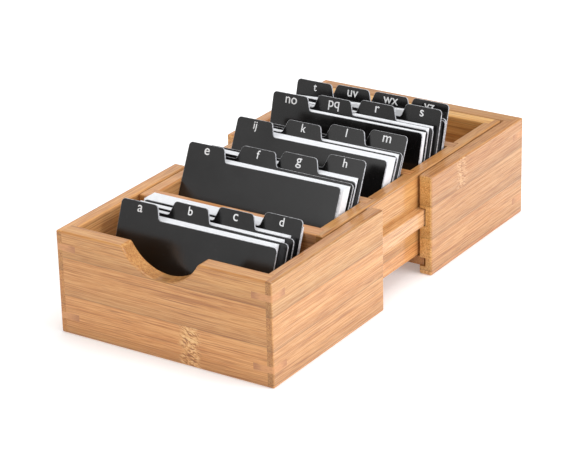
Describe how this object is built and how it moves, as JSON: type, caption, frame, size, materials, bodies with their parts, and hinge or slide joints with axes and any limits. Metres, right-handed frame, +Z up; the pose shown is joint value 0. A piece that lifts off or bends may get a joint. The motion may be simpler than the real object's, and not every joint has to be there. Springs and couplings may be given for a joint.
{
  "type": "expandable card index box",
  "caption": "Bamboo card index box whose two halves telescope over a sliding inner tray, with leaning alphabetical tab dividers and plain cards.",
  "frame": {"origin": "centre of the base, on the surface that the box stands on", "axes": "+Z up; -Y towards the front wall with the finger scoop; +X to the right as seen from the front"},
  "size_m": [0.143, 0.2824, 0.087],
  "materials": {
    "shell_bamboo": "clear satin lacquer over laminated bamboo strips",
    "inner_bamboo": "clear satin lacquer over laminated bamboo strips",
    "panel_bamboo": "clear satin lacquer over thin laminated bamboo board",
    "rail_bamboo": "bare pale bamboo, sanded",
    "key_bamboo": "dark heat-treated bamboo under the lacquer",
    "divider_plastic": "satin black polypropylene sheet with white printed index letters",
    "index_card": "uncoated plain white card"
  },
  "bodies": {
    "rear_shell": {"rear_shell_rear_wall": "shell_bamboo", "rear_shell_left_wall": "shell_bamboo", "rear_shell_right_wall": "shell_bamboo", "rear_shell_bottom_panel": "panel_bamboo", "rear_shell_corner_keys": "key_bamboo"},
    "inner_tray": {"inner_tray_front_wall": "inner_bamboo", "inner_tray_rear_wall": "inner_bamboo", "inner_tray_left_wall": "inner_bamboo", "inner_tray_right_wall": "inner_bamboo", "inner_tray_bottom_panel": "panel_bamboo", "inner_tray_partition_1": "inner_bamboo", "inner_tray_partition_2": "inner_bamboo", "inner_tray_partition_3": "inner_bamboo", "inner_tray_left_rail": "rail_bamboo", "inner_tray_right_rail": "rail_bamboo"},
    "front_tray": {"front_tray_front_wall": "shell_bamboo", "front_tray_left_wall": "shell_bamboo", "front_tray_right_wall": "shell_bamboo", "front_tray_bottom_panel": "panel_bamboo", "front_tray_corner_keys": "key_bamboo"},
    "divider_a": {"divider_a": "divider_plastic", "cards_behind_a": "index_card"},
    "divider_b": {"divider_b": "divider_plastic", "cards_behind_b": "index_card"},
    "divider_c": {"divider_c": "divider_plastic", "cards_behind_c": "index_card"},
    "divider_d": {"divider_d": "divider_plastic", "cards_behind_d": "index_card"},
    "divider_e": {"divider_e": "divider_plastic", "cards_behind_e": "index_card"},
    "divider_f": {"divider_f": "divider_plastic"},
    "divider_g": {"divider_g": "divider_plastic", "cards_behind_g": "index_card"},
    "divider_h": {"divider_h": "divider_plastic"},
    "divider_ij": {"divider_ij": "divider_plastic", "cards_behind_ij": "index_card"},
    "divider_k": {"divider_k": "divider_plastic", "cards_behind_k": "index_card"},
    "divider_l": {"divider_l": "divider_plastic"},
    "divider_m": {"divider_m": "divider_plastic"},
    "divider_no": {"divider_no": "divider_plastic", "cards_behind_no": "index_card"},
    "divider_pq": {"divider_pq": "divider_plastic", "cards_behind_pq": "index_card"},
    "divider_r": {"divider_r": "divider_plastic", "cards_behind_r": "index_card"},
    "divider_s": {"divider_s": "divider_plastic", "cards_behind_s": "index_card"},
    "divider_t": {"divider_t": "divider_plastic"},
    "divider_uv": {"divider_uv": "divider_plastic"},
    "divider_wx": {"divider_wx": "divider_plastic"},
    "divider_yz": {"divider_yz": "divider_plastic"}
  },
  "joints": [
    {"name": "inner_tray_slide", "type": "slide", "parent": "rear_shell", "child": "inner_tray", "axis": [0, -1, 0], "range_m": [0, 0.0545]},
    {"name": "front_tray_slide", "type": "slide", "parent": "inner_tray", "child": "front_tray", "axis": [0, -1, 0], "range_m": [-0.021, 0]},
    {"name": "divider_a_tilt", "type": "hinge", "parent": "front_tray", "child": "divider_a", "pos_m": [0, -0.12935, 0.01095], "axis": [1, 0, 0], "range_deg": [0, 21.8]},
    {"name": "divider_b_tilt", "type": "hinge", "parent": "front_tray", "child": "divider_b", "pos_m": [0, -0.12035, 0.01095], "axis": [1, 0, 0], "range_deg": [0, 21.8]},
    {"name": "divider_c_tilt", "type": "hinge", "parent": "front_tray", "child": "divider_c", "pos_m": [0, -0.11335, 0.01095], "axis": [1, 0, 0], "range_deg": [0, 21.8]},
    {"name": "divider_d_tilt", "type": "hinge", "parent": "front_tray", "child": "divider_d", "pos_m": [0, -0.10705, 0.01095], "axis": [1, 0, 0], "range_deg": [0, 21.8]},
    {"name": "divider_e_tilt", "type": "hinge", "parent": "inner_tray", "child": "divider_e", "pos_m": [0, -0.06305, 0.02215], "axis": [1, 0, 0], "range_deg": [0, 26]},
    {"name": "divider_f_tilt", "type": "hinge", "parent": "inner_tray", "child": "divider_f", "pos_m": [0, -0.05355, 0.02215], "axis": [1, 0, 0], "range_deg": [0, 26]},
    {"name": "divider_g_tilt", "type": "hinge", "parent": "inner_tray", "child": "divider_g", "pos_m": [0, -0.05015, 0.02215], "axis": [1, 0, 0], "range_deg": [0, 26]},
    {"name": "divider_h_tilt", "type": "hinge", "parent": "inner_tray", "child": "divider_h", "pos_m": [0, -0.04245, 0.02215], "axis": [1, 0, 0], "range_deg": [0, 26]},
    {"name": "divider_ij_tilt", "type": "hinge", "parent": "inner_tray", "child": "divider_ij", "pos_m": [0, -0.01445, 0.02215], "axis": [1, 0, 0], "range_deg": [0, 24]},
    {"name": "divider_k_tilt", "type": "hinge", "parent": "inner_tray", "child": "divider_k", "pos_m": [0, -0.00485, 0.02215], "axis": [1, 0, 0], "range_deg": [0, 24]},
    {"name": "divider_l_tilt", "type": "hinge", "parent": "inner_tray", "child": "divider_l", "pos_m": [0, 0.00075, 0.02215], "axis": [1, 0, 0], "range_deg": [0, 24]},
    {"name": "divider_m_tilt", "type": "hinge", "parent": "inner_tray", "child": "divider_m", "pos_m": [0, 0.00505, 0.02215], "axis": [1, 0, 0], "range_deg": [0, 24]},
    {"name": "divider_no_tilt", "type": "hinge", "parent": "inner_tray", "child": "divider_no", "pos_m": [0, 0.03425, 0.02215], "axis": [1, 0, 0], "range_deg": [0, 14]},
    {"name": "divider_pq_tilt", "type": "hinge", "parent": "inner_tray", "child": "divider_pq", "pos_m": [0, 0.04145, 0.02215], "axis": [1, 0, 0], "range_deg": [0, 14]},
    {"name": "divider_r_tilt", "type": "hinge", "parent": "inner_tray", "child": "divider_r", "pos_m": [0, 0.04635, 0.02215], "axis": [1, 0, 0], "range_deg": [0, 14]},
    {"name": "divider_s_tilt", "type": "hinge", "parent": "inner_tray", "child": "divider_s", "pos_m": [0, 0.05405, 0.02215], "axis": [1, 0, 0], "range_deg": [0, 14]},
    {"name": "divider_t_tilt", "type": "hinge", "parent": "inner_tray", "child": "divider_t", "pos_m": [0, 0.06055, 0.02215], "axis": [1, 0, 0], "range_deg": [0, 14]},
    {"name": "divider_uv_tilt", "type": "hinge", "parent": "inner_tray", "child": "divider_uv", "pos_m": [0, 0.06185, 0.02215], "axis": [1, 0, 0], "range_deg": [0, 14]},
    {"name": "divider_wx_tilt", "type": "hinge", "parent": "inner_tray", "child": "divider_wx", "pos_m": [0, 0.06315, 0.02215], "axis": [1, 0, 0], "range_deg": [0, 14]},
    {"name": "divider_yz_tilt", "type": "hinge", "parent": "inner_tray", "child": "divider_yz", "pos_m": [0, 0.06445, 0.02215], "axis": [1, 0, 0], "range_deg": [0, 14]}
  ],
  "couplings": [
    {"joint": "divider_a_tilt", "follows": "front_tray_slide", "rad_per_m": -18.1},
    {"joint": "divider_b_tilt", "follows": "front_tray_slide", "rad_per_m": -18.1},
    {"joint": "divider_c_tilt", "follows": "front_tray_slide", "rad_per_m": -18.1},
    {"joint": "divider_d_tilt", "follows": "front_tray_slide", "rad_per_m": -18.1},
    {"joint": "divider_f_tilt", "follows": "divider_e_tilt", "ratio": 1},
    {"joint": "divider_g_tilt", "follows": "divider_e_tilt", "ratio": 1},
    {"joint": "divider_h_tilt", "follows": "divider_e_tilt", "ratio": 1},
    {"joint": "divider_k_tilt", "follows": "divider_ij_tilt", "ratio": 1},
    {"joint": "divider_l_tilt", "follows": "divider_ij_tilt", "ratio": 1},
    {"joint": "divider_m_tilt", "follows": "divider_ij_tilt", "ratio": 1},
    {"joint": "divider_pq_tilt", "follows": "divider_no_tilt", "ratio": 1},
    {"joint": "divider_r_tilt", "follows": "divider_no_tilt", "ratio": 1},
    {"joint": "divider_s_tilt", "follows": "divider_no_tilt", "ratio": 1},
    {"joint": "divider_t_tilt", "follows": "divider_no_tilt", "ratio": 1},
    {"joint": "divider_uv_tilt", "follows": "divider_no_tilt", "ratio": 1},
    {"joint": "divider_wx_tilt", "follows": "divider_no_tilt", "ratio": 1},
    {"joint": "divider_yz_tilt", "follows": "divider_no_tilt", "ratio": 1}
  ]
}
